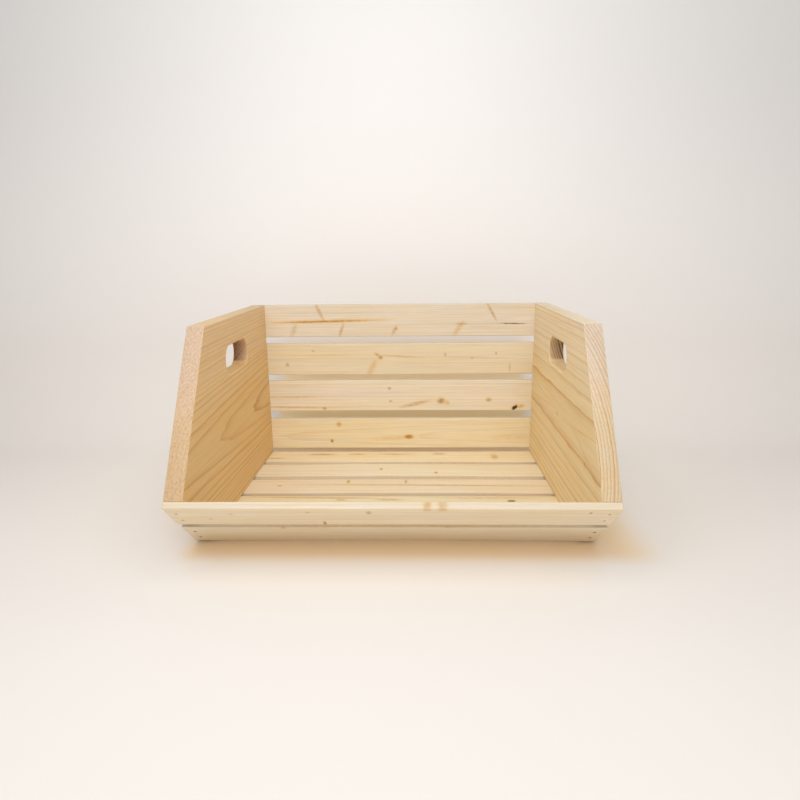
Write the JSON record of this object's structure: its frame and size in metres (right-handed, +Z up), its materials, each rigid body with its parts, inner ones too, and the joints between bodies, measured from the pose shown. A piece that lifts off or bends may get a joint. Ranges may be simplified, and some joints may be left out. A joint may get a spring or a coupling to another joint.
{
  "type": "kindling box",
  "caption": "Low open kindling box of pine: thick side panels with hand holes and a raked, sloping front, joined by nailed slats with gaps.",
  "frame": {"origin": "on the ground under the middle of the box, at the underside of the floor slats", "axes": "+X to the right seen from the front, +Y to the back, +Z up; the open sloping front faces -Y"},
  "size_m": [0.46, 0.3934, 0.247],
  "materials": {
    "panel_wood": "bare sawn and sanded pine, warm tan, cathedral grain, end grain on the front edge",
    "slat_wood": "bare planed pine, pale cream with small knots and fine straight grain",
    "nail_steel": "dull steel brads, sunk just under the face"
  },
  "bodies": {
    "root": {"left_side_panel": "panel_wood", "right_side_panel": "panel_wood", "back_slat_1": "slat_wood", "back_slat_2": "slat_wood", "back_slat_3": "slat_wood", "back_slat_4": "slat_wood", "floor_slat_1": "slat_wood", "floor_slat_2": "slat_wood", "floor_slat_3": "slat_wood", "floor_slat_4": "slat_wood", "floor_slat_5": "slat_wood", "front_slat_upper": "slat_wood", "front_slat_lower": "slat_wood", "back_slat_1_nails": "nail_steel", "back_slat_2_nails": "nail_steel", "back_slat_3_nails": "nail_steel", "back_slat_4_nails": "nail_steel", "floor_slat_1_nails": "nail_steel", "floor_slat_2_nails": "nail_steel", "floor_slat_3_nails": "nail_steel", "floor_slat_4_nails": "nail_steel", "floor_slat_5_nails": "nail_steel", "front_slat_upper_nails": "nail_steel", "front_slat_lower_nails": "nail_steel"}
  },
  "joints": []
}
